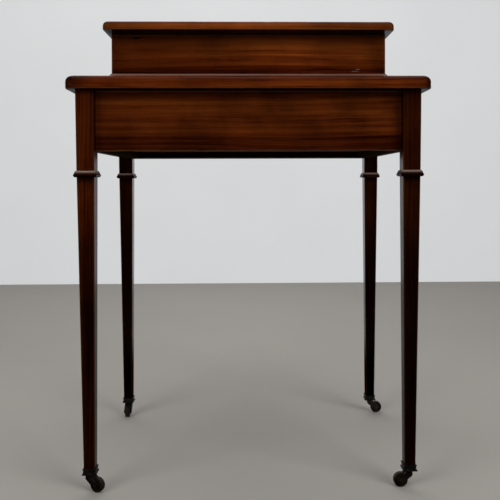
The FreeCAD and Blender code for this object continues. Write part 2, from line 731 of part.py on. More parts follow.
def make_drawer(x0, x1, y_rear, z0, z1, front_y, front_thick, side_thick, bottom_thick, tails, knobs):
    """Front, left side, right side, back and bottom of one dovetailed drawer."""
    near = 0.01
    root = front_y + front_thick
    front = box(x0, x1, front_y, root, z0, z1)
    front = rounded(front, FRONT_ROUND, lambda b: b.YMax < front_y + near)
    base = z0 + BOTTOM_RISE
    bottom = box(x0 + side_thick - BOTTOM_GROOVE, x1 - side_thick + BOTTOM_GROOVE,
                 root - BOTTOM_GROOVE, y_rear, base, base + bottom_thick)
    side_top = z1 - SIDE_DROP
    pitch = (side_top - z0) / tails
    sides = []
    for outer, inner in ((x0, x0 + side_thick), (x1, x1 - side_thick)):
        side = box(outer, inner, root, y_rear, z0, side_top)
        for index in range(tails):
            joint = tail(outer, inner, root, front_thick - LAP_SKIN, z0 + (index + 0.5) * pitch, pitch)
            side = side.fuse(joint)
            front = front.cut(joint)
        sides.append(side.cut(bottom).removeSplitter().Solids[0])
    back = box(x0 + side_thick, x1 - side_thick, y_rear - side_thick, y_rear,
               base + bottom_thick, z1 - BACK_DROP)
    front = front.cut(Part.makeCompound([bottom] + knobs)).Solids[0]
    return front, sides[0], sides[1], back, bottom


def make_frieze_drawer():
    """Long drawer under the writing top."""
    reach = LEG_INNER_X - DRAWER_GAP
    z0 = RUNNER_TOP + SLIDE_GAP
    z1 = KICKER_BASE - DRAWER_GAP
    knobs = []
    for side in (-1, 1):
        knob = knob_blank(1.0)
        knob.translate(Vector(side * KNOB_FROM_MIDDLE, RAIL_FRONT_Y, (z0 + z1) / 2))
        knobs.append(knob)
    pieces = make_drawer(-reach, reach, APRON_INNER_Y - FRIEZE_REAR_GAP, z0, z1, RAIL_FRONT_Y,
                         FRIEZE_FRONT_THICK, FRIEZE_SIDE_THICK, FRIEZE_BOTTOM_THICK, FRIEZE_TAILS, knobs)
    for name, piece in zip(("front", "left_side", "right_side", "back", "bottom"), pieces):
        keep("frieze_drawer_" + name, piece)
    keep("frieze_drawer_knobs", *knobs)


def make_small_drawers():
    """Row of small drawers in the superstructure."""
    z0 = UPPER_FLOOR_TOP + SLIDE_GAP
    z1 = UPPER_TOP_BASE - DRAWER_GAP
    y_rear = UPPER_BACK_Y - UPPER_BACK_THICK - SMALL_REAR_GAP
    for index, place in enumerate(SMALL_DRAWERS):
        bay = BAY_START + index * BAY_PITCH
        knob = knob_blank(SMALL_KNOB_SCALE)
        knob.translate(Vector(bay + BAY_WIDTH / 2, UPPER_FRONT_Y, (z0 + z1) / 2))
        front, left, right, back, bottom = make_drawer(
            bay + DRAWER_GAP, bay + BAY_WIDTH - DRAWER_GAP, y_rear, z0, z1, UPPER_FRONT_Y,
            SMALL_FRONT_THICK, SMALL_SIDE_THICK, SMALL_BOTTOM_THICK, SMALL_TAILS, [knob])
        keep(place + "_drawer_front", front)
        keep(place + "_drawer_walls", left, right, back)
        keep(place + "_drawer_bottom", bottom)
        keep(place + "_drawer_knob", knob)


os.makedirs("parts", exist_ok=True)
make_frame()
make_castors()
make_drawer_carriage()
make_writing_top()
make_superstructure()
make_frieze_drawer()
make_small_drawers()
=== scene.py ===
# %% [markdown]
# A bonheur du jour is a small lady's writing desk: a leather-topped table on slender legs, with a low
# case of little drawers along its back. The cabinet maker's part of the work, every board at its real size
# and every drawer in its place, is already done. This lesson gives those boards their looks: old polished
# mahogany, oak linings, tooled leather and dull brass. First the finished carcass is loaded.

# %% Load the carcass
import math
from collections import namedtuple

import bmesh
import bpy
from mathutils import Matrix, Vector, noise


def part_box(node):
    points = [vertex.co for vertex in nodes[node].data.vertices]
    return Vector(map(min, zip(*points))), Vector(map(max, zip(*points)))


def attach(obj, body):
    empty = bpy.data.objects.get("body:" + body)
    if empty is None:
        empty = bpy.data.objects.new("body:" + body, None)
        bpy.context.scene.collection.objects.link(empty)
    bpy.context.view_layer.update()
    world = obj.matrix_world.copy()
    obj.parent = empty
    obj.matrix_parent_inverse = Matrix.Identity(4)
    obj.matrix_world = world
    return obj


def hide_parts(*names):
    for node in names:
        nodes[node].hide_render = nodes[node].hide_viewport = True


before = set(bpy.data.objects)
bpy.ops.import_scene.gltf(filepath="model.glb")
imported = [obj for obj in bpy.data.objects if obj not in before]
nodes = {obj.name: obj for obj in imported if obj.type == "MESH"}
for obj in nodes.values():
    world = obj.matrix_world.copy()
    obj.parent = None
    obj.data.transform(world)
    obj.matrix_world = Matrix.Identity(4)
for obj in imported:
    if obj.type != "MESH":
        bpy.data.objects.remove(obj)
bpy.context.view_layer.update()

# %% [markdown]
# The photograph looks at the plain back of the desk, almost square on, from about the height of its legs'
# collars. A camera could be turned by hand until it looks right, but angles that were measured can be
# written down. A camera is three directions (right, up and back) and a place, so the matrix is written from
# those angles. The lens comes from the focal length in pixels. The picture was framed with more floor than
# wall, and the two shifts move the frame without tilting the upright legs.

# %% Camera
IMAGE_SIDE = 500
FOCAL_PIXELS = 715.2
PRINCIPAL_POINT = (264.0, 190.0)
CAMERA_PLACE = Vector((0.0048, 1.4596, 0.5406))
CAMERA_YAW = math.radians(-1.378)
CAMERA_PITCH = math.radians(0.688)
CAMERA_ROLL = math.radians(-0.184)
SENSOR = 36.0

ahead = Vector((
    math.sin(CAMERA_YAW) * math.cos(CAMERA_PITCH),
    -math.cos(CAMERA_YAW) * math.cos(CAMERA_PITCH),
    -math.sin(CAMERA_PITCH),
))
level_right = Vector((-math.cos(CAMERA_YAW), -math.sin(CAMERA_YAW), 0))
level_up = level_right.cross(ahead)
right = math.cos(CAMERA_ROLL) * level_right + math.sin(CAMERA_ROLL) * level_up
up = math.cos(CAMERA_ROLL) * level_up - math.sin(CAMERA_ROLL) * level_right

camera = bpy.data.objects.new("camera", bpy.data.cameras.new("camera"))
bpy.context.scene.collection.objects.link(camera)
camera.matrix_world = Matrix.Translation(CAMERA_PLACE) @ Matrix((right, up, -ahead)).transposed().to_4x4()
camera.data.sensor_width = SENSOR
camera.data.lens = FOCAL_PIXELS / IMAGE_SIDE * SENSOR
camera.data.shift_x = (IMAGE_SIDE / 2 - PRINCIPAL_POINT[0]) / IMAGE_SIDE
camera.data.shift_y = (PRINCIPAL_POINT[1] - IMAGE_SIDE / 2) / IMAGE_SIDE
bpy.context.scene.camera = camera
print("lens", round(camera.data.lens, 2))
print("shift", round(camera.data.shift_x, 3), round(camera.data.shift_y, 3))

# %% [markdown]
# A material is a tree of small boxes, and wiring them one by one hides the idea behind them. This class
# wraps one output socket, so that sums on sockets can be written as sums in Python: each operator adds a
# Math box. Everything else, such as a noise or a ramp, comes from the one method called node, which sets
# the box up first and then gives its sockets their values or their links.

# %% Wires between shader boxes
class Wire:
    """One output socket in a shader tree."""

    def __init__(self, tree, socket=None):
        self.tree = tree
        self.socket = socket

    def node(self, kind, settings=None, sockets=None, out=0):
        """Add a box of any kind: its settings first, then the values or links of its sockets."""
        box = self.tree.nodes.new(kind)
        for name, value in (settings or {}).items():
            if name == "stops":
                set_stops(box.color_ramp, value)
            else:
                setattr(box, name, value)
        for name, value in (sockets or {}).items():
            end = find_socket(box.inputs, name)
            if isinstance(value, Wire):
                self.tree.links.new(value.socket, end)
            else:
                end.default_value = value
        return Wire(self.tree, find_socket(box.outputs, out) if box.outputs else None)

    def of(self, name):
        """Another output of the same box."""
        return Wire(self.tree, find_socket(self.socket.node.outputs, name))

    def sum(self, operation, *values):
        """One Math box."""
        return self.node("ShaderNodeMath", {"operation": operation}, dict(enumerate(values)))

    def __add__(self, other):
        return self.sum("ADD", self, other)

    def __sub__(self, other):
        return self.sum("SUBTRACT", self, other)

    def __mul__(self, other):
        return self.sum("MULTIPLY", self, other)

    def __truediv__(self, other):
        return self.sum("DIVIDE", self, other)

    def __pow__(self, other):
        return self.sum("POWER", self, other)

    def __radd__(self, other):
        return self.sum("ADD", other, self)

    def __rsub__(self, other):
        return self.sum("SUBTRACT", other, self)

    def __rmul__(self, other):
        return self.sum("MULTIPLY", other, self)

    def __rtruediv__(self, other):
        return self.sum("DIVIDE", other, self)

    def __abs__(self):
        return self.sum("ABSOLUTE", self)


def find_socket(sockets, name):
    """A socket by its number, its identifier or its name."""
    if isinstance(name, int):
        return sockets[name]
    for socket in sockets:
        if socket.identifier == name:
            return socket
    return sockets[name]


def set_stops(ramp, stops):
    """Give a colour ramp its stops, each a position and a colour."""
    while len(ramp.elements) < len(stops):
        ramp.elements.new(1.0)
    for element, (position, colour) in zip(ramp.elements, stops):
        element.position = position
        element.color = (*colour, 1.0)


print("shader sums are ready")

# %% [markdown]
# A few words that every finish needs: the place of a point on its piece, noise stretched along one
# direction, a soft step from one value to another, and the mixing of colours. The place is read in the
# desk's own metres, so a grain keeps its real scale on a leg as on a table top, and it moves with its
# piece. Polish can be gone in places, so the last word can join a glossy shader and a matt one.

# %% Words for finishes
def new_finish(name):
    """An empty material and a wire to start its tree from."""
    material = bpy.data.materials.new(name)
    material.use_nodes = True
    material.node_tree.nodes.clear()
    return material, Wire(material.node_tree)


def place_of(wire):
    """The point's place in the desk's own frame, in metres."""
    return wire.node("ShaderNodeTexCoord", out="Object")


def facing(wire):
    """The direction that the surface faces, in the desk's own frame."""
    return wire.node("ShaderNodeTexCoord", out="Normal")


def parts_of(vector):
    """The three numbers of a vector."""
    x = vector.node("ShaderNodeSeparateXYZ", sockets={"Vector": vector})
    return x, x.of("Y"), x.of("Z")


def height_of(wire):
    """The point's height above the floor, in metres."""
    return parts_of(place_of(wire))[2]


def joined(x, y, z):
    """A vector of three numbers, of which the first is a wire."""
    return x.node("ShaderNodeCombineXYZ", sockets={"X": x, "Y": y, "Z": z})


def stretched(vector, amounts):
    """A vector times three fixed amounts."""
    return vector.node("ShaderNodeVectorMath", {"operation": "MULTIPLY"}, {0: vector, 1: amounts})


def moved(vector, step):
    """A vector plus another."""
    return vector.node("ShaderNodeVectorMath", {"operation": "ADD"}, {0: vector, 1: step})


def scaled(vector, share):
    """A vector or a colour times one number, which is a wire."""
    return share.node("ShaderNodeVectorMath", {"operation": "SCALE"}, {0: vector, "Scale": share})


def cloud(vector, scale=1.0, detail=2.0, roughness=0.5):
    """Smooth noise from 0 to 1, most of it near a half."""
    return vector.node("ShaderNodeTexNoise", sockets={
        "Vector": vector, "Scale": scale, "Detail": detail, "Roughness": roughness})


def step(value, start, end, low=0.0, high=1.0):
    """A soft step from low to high while a value goes from start to end."""
    return value.node("ShaderNodeMapRange", {"interpolation_type": "SMOOTHSTEP"}, {
        "Value": value, "From Min": start, "From Max": end, "To Min": low, "To Max": high}, "Result")


def mixed(share, first, second):
    """Two colours mixed by a share."""
    return share.node("ShaderNodeMix", {"data_type": "RGBA"}, {
        "Factor_Float": share, "A_Color": first, "B_Color": second}, "Result_Color")


def ramp(value, stops):
    """A colour read from a ramp."""
    return value.node("ShaderNodeValToRGB", {"stops": stops}, {"Fac": value}, "Color")


def relief(height):
    """A normal from a height in metres."""
    return height.node("ShaderNodeBump", sockets={"Strength": 1.0, "Distance": 1.0, "Height": height})


def paint(*colour):
    """A colour with its alpha, as a socket takes it."""
    return (*colour, 1.0)


def polish(wire, lost=None, **sockets):
    """Finish a material with a Principled shader, and with a matt one for the share that is lost."""
    named = {name.replace("_", " "): value for name, value in sockets.items()}
    shader = wire.node("ShaderNodeBsdfPrincipled", sockets=named)
    if lost is not None:
        matt = wire.node("ShaderNodeBsdfPrincipled", sockets={
            "Base Color": named["Base Color"], "Roughness": 1.0, "Specular IOR Level": 0.0})
        shader = wire.node("ShaderNodeMixShader", sockets={"Fac": lost, 1: shader, 2: matt})
    wire.node("ShaderNodeOutputMaterial", sockets={"Surface": shader})


print("words for finishes are ready")

# %% [markdown]
# Polish wears first along the arrises, where hands and dusters pass. To know how near a point lies to an
# edge, a flat board needs only its box: of the distances to the three pairs of faces, the nearest is the
# face the point lies on, and the middle one is the way to the nearest arris. A leg tapers and leans, so its
# box is worked out again at each height. Wear could be painted by hand on each mesh, but these measures
# come straight from the boards' own sizes, so they fit every board.

# %% How far from an arris
RING_REACH = 0.0005


def board_edge(wire, low, high):
    """Distance from a point on a box to its nearest arris."""
    gaps = []
    for value, start, end in zip(parts_of(place_of(wire)), low, high):
        gaps.append((end - start) / 2 - abs(value - (start + end) / 2))
    x, y, z = gaps
    nearest = wire.sum("MINIMUM", x, y)
    farther = wire.sum("MAXIMUM", x, y)
    return wire.sum("MAXIMUM", nearest, wire.sum("MINIMUM", farther, z))


def section(name, z):
    """Middle and width of an upright piece's section at a height, from its own vertices."""
    ring = [v.co for v in nodes[name].data.vertices if abs(v.co.z - z) < RING_REACH]
    xs = [p.x for p in ring]
    ys = [p.y for p in ring]
    return (min(xs) + max(xs)) / 2, (min(ys) + max(ys)) / 2, max(xs) - min(xs)


def leg_edge(wire, name):
    """Distance from a point on a tapered, leaning leg to its nearest arris."""
    low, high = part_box(name)
    foot_x, foot_y, foot = section(name, low.z)
    top_x, top_y, top = section(name, high.z)
    x, y, z = parts_of(place_of(wire))
    rise = (z - low.z) / (high.z - low.z)
    half = (foot + (top - foot) * rise) / 2
    across = half - abs(x - (foot_x + (top_x - foot_x) * rise))
    along = half - abs(y - (foot_y + (top_y - foot_y) * rise))
    return wire.sum("MAXIMUM", across, along)


# %% [markdown]
# Mahogany is straight grained, with long streaks of red-brown and orange-brown, faint growth rings, and
# fine open pores that show as short dark dashes. A picture of a plank could be wrapped round each board,
# but it would repeat, and it would blur close by. Here the grain is noise stretched along the board, in
# layers from broad to fine, and each board starts at another place in the log. A board can also have bands,
# lighter or darker across its height: some are where the tree grew lighter or darker wood, and some are
# painted light and shade.

# %% Grain of the log
BARK = (0.0115, 0.0013, 0.0005)
HEART = (0.0430, 0.0062, 0.0009)
WARM = (0.0880, 0.0163, 0.0021)
HONEY = (0.1500, 0.0350, 0.0050)
TONES = [(0.36, BARK), (0.47, HEART), (0.57, WARM), (0.70, HONEY)]

LOG_STEP = (0.37, 0.113, 0.071)
LOG_BEND = (0.0, 0.030, 0.022)
BEND_STRETCH = (1.7, 6.0, 6.0)
BROAD_STRETCH = (0.8, 17.0, 17.0)
STREAK_STRETCH = (0.9, 75.0, 75.0)
FIBRE_STRETCH = (7.0, 520.0, 520.0)
FLECK_STRETCH = (9.0, 300.0, 300.0)
PORE_STRETCH = (95.0, 2400.0, 2400.0)
PITH_ACROSS, PITH_DOWN = 0.16, 0.09
RING_RATE, RING_WOBBLE = 900.0, 6.0
BROAD_SHARE, STREAK_SHARE, FIBRE_SHARE = 0.38, 0.38, 0.24
RING_SHARE, FLECK_SHARE, TONE_LIFT = 0.04, 0.08, 0.025
BAND_WAVER = 0.012
BAND_FULL, BAND_NONE = 0.3, 0.6

Wood = namedtuple("Wood", "grain seed shade wear bands marks fades", defaults=((), (), ()))
Band = namedtuple("Band", "low high change")
Fade = namedtuple("Fade", "start end least")
Mark = namedtuple("Mark", "x z half_width half_height colour")
Grain = namedtuple("Grain", "tone fibre pore")


def log_place(wire, along, seed):
    """Place in the log, with the grain along the first axis, a little bent."""
    xyz = parts_of(place_of(wire))
    across = [xyz[axis] for axis in range(3) if axis != along]
    start = joined(xyz[along], *across)
    start = moved(start, tuple(seed * move for move in LOG_STEP))
    bend = cloud(stretched(start, BEND_STRETCH), detail=1.0) - 0.5
    return moved(start, scaled(LOG_BEND, bend))


def log_grain(wire, wood):
    """The tone of a board from dark to light, with its fibres and its pores."""
    log = log_place(wire, wood.grain, wood.seed)
    _, width, depth = parts_of(log)
    broad = cloud(stretched(log, BROAD_STRETCH), detail=2.0)
    streak = cloud(stretched(log, STREAK_STRETCH), detail=4.0, roughness=0.55)
    pith_away = ((width + PITH_ACROSS) ** 2.0 + (depth + PITH_DOWN) ** 2.0) ** 0.5
    ring = wire.sum("SINE", pith_away * RING_RATE + streak * RING_WOBBLE) * 0.5 + 0.5
    fibre = cloud(stretched(log, FIBRE_STRETCH), detail=3.0, roughness=0.6)
    fleck = step(cloud(stretched(log, FLECK_STRETCH), detail=2.0), 0.58, 0.74)
    pore = step(cloud(stretched(log, PORE_STRETCH), detail=1.0), 0.60, 0.70)
    tone = broad * BROAD_SHARE + streak * STREAK_SHARE + ring * RING_SHARE + fibre * FIBRE_SHARE
    tone = tone - fleck * FLECK_SHARE + TONE_LIFT
    # Bands by height: some are wood, some are painted light and shade.
    for band in wood.bands:
        height = height_of(wire) + streak * BAND_WAVER - BAND_WAVER / 2
        spread = band.high - band.low
        away = abs(height - (band.low + band.high) / 2)
        tone = tone + step(away, BAND_FULL * spread, BAND_NONE * spread, band.change, 0.0)
    return Grain(tone, fibre, pore)


print("mahogany runs from", BARK, "to", HONEY)

# %% [markdown]
# Old polish is not even. It is dark with dirt in patches, rubbed thin and orange along the arrises, and a
# little wavy, which softens what it mirrors. It is missing where nobody polished, such as the underside of
# a board, where the colour is also darkened, partly bare old wood and partly painted shade. One shader
# could be made rough there, but it would still shine at a glancing angle, so a glossy shader and a matt one
# are mixed by the share that is lost. Ledges hold dust, which is laid where the surface faces upwards and
# also stands in for a painted sheen there, and a board can be darker along parts of its length, some of it
# painted shade, or have a few marks.

# %% Mahogany
RUBBED = (0.2150, 0.0760, 0.0190)
# Pale dust on upward faces, which also stands in for a painted sheen there.
DUST_AND_SHEEN = (0.2000, 0.1380, 0.1180)
# Depth of colour where the polish is missing: partly bare old wood, partly painted shade under and inside
# the desk.
BARE_AND_SHADE = 0.08
RUB_WAVER = 0.0022
RUB_FULL, RUB_NONE = -0.0006, 0.0018
DIRTY, CLEAN = 0.62, 1.12
PORE_DARK = 0.5
SHEEN, SMEAR_ROUGH, PORE_ROUGH, RUB_ROUGH = 0.12, 0.16, 0.10, 0.10
WAVE_HEIGHT, FIBRE_HEIGHT, PORE_DEPTH = 0.0004, 0.00002, 0.00004
MARK_STRETCH = (260.0, 260.0, 700.0)
MARK_RAGGED, MARK_COVER = 1.6, 0.85


def scuffed(wire, colour, mark):
    """A colour with one short, ragged mark on it."""
    x, _, z = parts_of(place_of(wire))
    ragged = cloud(stretched(place_of(wire), MARK_STRETCH), detail=2.0) - 0.5
    reach = ((x - mark.x) / mark.half_width) ** 2.0 + ((z - mark.z) / mark.half_height) ** 2.0
    return mixed(step(reach + ragged * MARK_RAGGED, 0.4, 1.1, MARK_COVER, 0.0), colour, paint(*mark.colour))


def board_shade(wire, wood, dirt):
    """Depth of a board's colour: darker in dirty patches, and darker along the board where it is given
    fades, some of them painted shade.
    """
    shade = step(dirt, 0.30, 0.62, DIRTY, CLEAN) * wood.shade
    for fade in wood.fades:
        shade = shade * step(parts_of(place_of(wire))[0], fade.start, fade.end, 1.0, fade.least)
    return shade


def rubbed_share(wire, edge):
    """Share of the polish that is rubbed thin, in a ragged line along the arrises."""
    ragged = cloud(place_of(wire), scale=38.0, detail=3.0)
    return step(edge - RUB_WAVER * ragged, RUB_FULL, RUB_NONE, 1.0, 0.0)


def dust_and_sheen_on(wire, colour, dirt, dust_and_sheen):
    """A colour with dust and a painted sheen where the surface faces upwards."""
    upward = parts_of(facing(wire))[2]
    share = step(upward, 0.10, 0.60) * step(dirt, 0.2, 0.6, 0.6, 1.0) * dust_and_sheen(wire)
    return mixed(share, colour, paint(*DUST_AND_SHEEN))


def mahogany(name, wood, edge_of, shaded=None, bare_and_shaded=None, lost=None, dust_and_sheen=None):
    """Old mahogany for one board, which may lose its polish, be darkened below as bare wood and painted
    shade, and be dusty with a painted sheen on its ledges.
    """
    material, wire = new_finish(name)
    grain = log_grain(wire, wood)
    dirt = cloud(place_of(wire), scale=9.0, detail=3.0, roughness=0.6)
    shade = board_shade(wire, wood, dirt)
    if shaded:
        shade = shade * shaded(wire)
    if bare_and_shaded:
        # Where the polish is missing the colour is darkened: partly bare wood, partly painted shade.
        raw_and_shaded = bare_and_shaded(wire)
        shade = shade * (1 - raw_and_shaded * (1 - BARE_AND_SHADE))
        lost = raw_and_shaded * lost
    colour = mixed(grain.pore * PORE_DARK, ramp(grain.tone, TONES), paint(*BARK))
    colour = scaled(colour, shade)
    for mark in wood.marks:
        colour = scuffed(wire, colour, mark)
    rub = rubbed_share(wire, edge_of(wire))
    colour = mixed(rub * wood.wear, colour, paint(*RUBBED))
    if dust_and_sheen:
        colour = dust_and_sheen_on(wire, colour, dirt, dust_and_sheen)
    smear = cloud(place_of(wire), scale=26.0, detail=3.0)
    roughness = SHEEN + smear * SMEAR_ROUGH + grain.pore * PORE_ROUGH + rub * RUB_ROUGH
    wave = cloud(place_of(wire), scale=11.0, detail=1.0)
    height = wave * WAVE_HEIGHT + grain.fibre * FIBRE_HEIGHT - grain.pore * PORE_DEPTH
    polish(wire, lost, Base_Color=colour, Roughness=roughness, Normal=relief(height),
           Specular_IOR_Level=0.40)
    return material


print("polish is rubbed within", round(RUB_NONE + RUB_WAVER, 4), "m of an arris")

# %% [markdown]
# Each board is given its grain, its place in the log, its depth of colour and the wear of its arrises.
# Rails have the grain along the desk, and the side boards from front to back. One material for all would
# be shorter, but then every board would come from the same plank. The back of the case is the board that
# is seen most: it is darker along its foot, partly painted shade where it meets the writing top, lighter
# in painted bands of light under the upper top's overhang, darker towards one end as painted shade and
# darker at both ends, with a dark dent and two pale scratches. The apron has a painted band of light just
# under the writing top.

# %% Boards of mahogany
ALONG_X, ALONG_Y, ALONG_Z = 0, 1, 2
FULL_WEAR = 0.55
UNDER_LOST = 0.88
FACE_NEAR, FACE_FAR = 0.0002, 0.0016

# The last band is painted light, lifting the shade just under the writing top.
APRON_BANDS = (Band(0.560, 0.740, -0.03), Band(0.590, 0.620, -0.06), Band(0.676, 0.708, 0.06))
# The dark foot band is partly painted shade where the case meets the writing top; the two lighter bands are
# painted light in the upper top's shadow.
BACK_BANDS = (Band(0.712, 0.744, -0.09), Band(0.750, 0.800, 0.04), Band(0.776, 0.802, 0.06))
# The first fade is painted shade, darker towards one end; the other two darken the ends.
BACK_FADES = (Fade(-0.19, 0.20, 0.46), Fade(0.205, 0.243, 0.70), Fade(-0.192, -0.240, 0.42))
BACK_MARKS = (
    Mark(0.2005, 0.7960, 0.0110, 0.0017, (0.0030, 0.0008, 0.0005)),
    Mark(-0.1952, 0.7406, 0.0040, 0.0010, (0.1150, 0.0850, 0.0850)),
    Mark(-0.1895, 0.7373, 0.0070, 0.0010, (0.0800, 0.0620, 0.0680)),
)

boards = {
    "back_apron": Wood(ALONG_X, 17, 0.74, 0.35, APRON_BANDS),
    "left_apron": Wood(ALONG_Y, 5, 1.0, 0.35),
    "right_apron": Wood(ALONG_Y, 8, 1.0, 0.35),
    "front_top_rail": Wood(ALONG_X, 11, 0.95, FULL_WEAR),
    "front_bottom_rail": Wood(ALONG_X, 13, 0.95, FULL_WEAR),
    "upper_back": Wood(ALONG_X, 102, 1.60, 0.30, BACK_BANDS, BACK_MARKS, BACK_FADES),
    "upper_left_side": Wood(ALONG_Y, 19, 1.0, 0.40),
    "upper_right_side": Wood(ALONG_Y, 23, 1.0, 0.40),
    "upper_floor": Wood(ALONG_X, 29, 0.9, 0.30),
    "upper_left_partition": Wood(ALONG_Y, 31, 0.9, 0.40),
    "upper_right_partition": Wood(ALONG_Y, 37, 0.9, 0.40),
    "frieze_drawer_front": Wood(ALONG_X, 41, 1.15, FULL_WEAR),
    "left_drawer_front": Wood(ALONG_X, 43, 1.15, FULL_WEAR),
    "middle_drawer_front": Wood(ALONG_X, 47, 1.15, FULL_WEAR),
    "right_drawer_front": Wood(ALONG_X, 53, 1.15, FULL_WEAR),
}


def dress(name, material):
    """Give a carcass piece its finish, in every slot it has."""
    for slot in nodes[name].material_slots:
        slot.material = material


def unpolished_and_shaded(low, high, inside=False):
    """The underside of a board, and the inner face of a rail, as a share from 0 to 1: the polish is lost
    there, and the colour darkened as bare wood and painted shade.
    """
    def share(wire):
        _, y, z = parts_of(place_of(wire))
        under = step(z, low.z + FACE_NEAR, low.z + FACE_FAR, 1.0, 0.0)
        if not inside:
            return under
        behind = step(y, high.y - FACE_FAR, high.y - FACE_NEAR)
        return wire.sum("MAXIMUM", under, behind)
    return share


for name, wood in boards.items():
    low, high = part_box(name)
    finish = mahogany("mahogany_" + name, wood, lambda wire: board_edge(wire, low, high),
                      bare_and_shaded=unpolished_and_shaded(low, high, name.endswith("_rail")), lost=UNDER_LOST)
    dress(name, finish)
print("boards dressed:", len(boards))

# %% [markdown]
# The legs have their grain up and down. They are darkest at the foot, and one is warmer just under its
# collar. Shade is painted where little light reaches: in the corner under each collar, beside the apron,
# and on the inward side of the front legs above their collars. The front legs have lost the polish of their
# feet, which are also darkened, partly painted shade, and the back legs about half of theirs all the way
# up.
# Shade like this could be painted by hand, but it depends on the height, or on the side that a face is
# turned to, so a few soft steps say it better. How much of each a leg has is a row in a small table.

# %% Legs
COLLAR_LOW, COLLAR_HIGH = (point.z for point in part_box("leg_collars"))
APRON_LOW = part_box("back_apron")[0].z
LEG_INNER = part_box("leg_back_right")[0].x
FULL_ABOVE = 0.04
GLOW_DROP, GLOW_REACH = 0.035, 0.04
# Painted shadow round the collar, and painted shade in the corner beside the apron.
TUCK_NEAR, TUCK_FAR, TUCK_SHADE = 0.003, 0.013, 0.30
CORNER_OUT, CORNER_IN, CORNER_SHADE = 0.0030, 0.0010, 0.75
APRON_FEATHER = 0.010
TURNED_LITTLE, TURNED_FULL = 0.5, 0.9
BARE_FOOT_LOW, BARE_FOOT_HIGH = 0.11, 0.20

Leg = namedtuple("Leg", "wood fade foot glow lost soot")
# The front legs' low depth of colour is partly painted shade on the far side under the desk.
LEGS = {
    "leg_front_left": Leg(Wood(ALONG_Z, 59, 0.30, 0.08), 0.20, 0.16, 1.0, 1.0, 0.7),
    "leg_front_right": Leg(Wood(ALONG_Z, 61, 0.30, 0.08), 0.20, 0.16, 1.0, 1.0, 0.7),
    "leg_back_left": Leg(Wood(ALONG_Z, 67, 0.25, 0.06), 0.18, 0.18, 1.0, 0.42, 0.0),
    "leg_back_right": Leg(Wood(ALONG_Z, 71, 0.60, 0.06), 0.30, 0.30, 1.25, 0.50, 0.0),
}


def leg_shade(leg):
    """Depth of colour up a leg: dark at its foot, warm below its collar, with painted shade under the
    collar, in the corners and on the inward side.
    """
    def share(wire):
        x, _, height = parts_of(place_of(wire))
        dark = step(height, COLLAR_LOW - leg.fade, COLLAR_HIGH + FULL_ABOVE, leg.foot, 1.0)
        glow = step(abs(height - COLLAR_LOW + GLOW_DROP), 0.0, GLOW_REACH, leg.glow, 1.0)
        # Painted shadow on the leg just below its collar.
        collar_shadow = step(abs(height - COLLAR_LOW), TUCK_NEAR, TUCK_FAR, TUCK_SHADE, 1.0)
        # Painted shade in the corner beside the apron, above its lower edge.
        corner = step(LEG_INNER - abs(x), -CORNER_OUT, -CORNER_IN)
        corner = corner * step(height, APRON_LOW - APRON_FEATHER, APRON_LOW)
        # Painted shade on the side of the front legs turned inwards, above the collar.
        inward_shade_share = step(parts_of(facing(wire))[1], TURNED_LITTLE, TURNED_FULL)
        inward_shade_share = inward_shade_share * step(height, COLLAR_LOW, COLLAR_HIGH)
        return dark * glow * collar_shadow * (1 - corner * CORNER_SHADE) * (1 - inward_shade_share * leg.soot)
    return share


def bare_shaded_foot(wire):
    """The foot of a leg, where kicks and mops have taken the polish and the colour is darkened, partly as
    painted shade, as a share from 0 to 1.
    """
    return step(height_of(wire), BARE_FOOT_LOW, BARE_FOOT_HIGH, 1.0, 0.0)


for name, leg in LEGS.items():
    # The front legs' feet lose their polish and are darkened, partly as painted shade.
    bare_and_shaded = bare_shaded_foot if name.startswith("leg_front") else None
    dress(name, mahogany("mahogany_" + name, leg.wood, lambda wire: leg_edge(wire, name), leg_shade(leg),
                         bare_and_shaded=bare_and_shaded, lost=leg.lost))
print("legs dressed:", len(LEGS))

# %% [markdown]
# Each leg has a collar, a strip with a round nose under a slope, and a thin moulding runs round the foot
# of the case. Dust lies on both, with a painted sheen where they face upwards, and makes them pale lines.
# It could be a strip of its own, but dust has no thickness that shows, so it is a colour. On the collars it
# keeps to the slope, and the nose below is dark, as the collars' wood is kept very dark, partly painted
# shade.

# %% Collars and moulding
NOSE_SHARE = 0.375
NOSE = COLLAR_LOW + NOSE_SHARE * (COLLAR_HIGH - COLLAR_LOW)
# Dust with a painted sheen: on the collars' slope above the nose, and on the moulding's upward faces.
SHEEN_DUST_NONE, SHEEN_DUST_FULL = 0.0012, 0.0022
COLLAR_LOST = 0.7
MOULD_DUST_AND_SHEEN = 0.60


def collar_edge(wire):
    """Distance from the nose of the collars, which stands out close above their flat underside."""
    return abs(height_of(wire) - NOSE)


def above_nose(wire):
    """The slope of the collars above their nose, as a share from 0 to 1."""
    return step(height_of(wire), NOSE + SHEEN_DUST_NONE, NOSE + SHEEN_DUST_FULL)


def mould_edge(wire):
    """Distance from the upper arris of the moulding round the foot of the case."""
    return abs(height_of(wire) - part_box("upper_base_moulding")[1].z)


dress("upper_base_moulding", mahogany("mahogany_upper_base_moulding", Wood(ALONG_X, 77, 0.80, 0.20),
                                      mould_edge, dust_and_sheen=lambda wire: MOULD_DUST_AND_SHEEN))
# The collars' very low depth of colour is partly painted shade on the nose and its underside.
dress("leg_collars", mahogany("mahogany_leg_collars", Wood(ALONG_X, 73, 0.16, 0.0),
                              collar_edge, lost=COLLAR_LOST, dust_and_sheen=above_nose))
print("collars from", round(COLLAR_LOW, 4), "to", round(COLLAR_HIGH, 4))

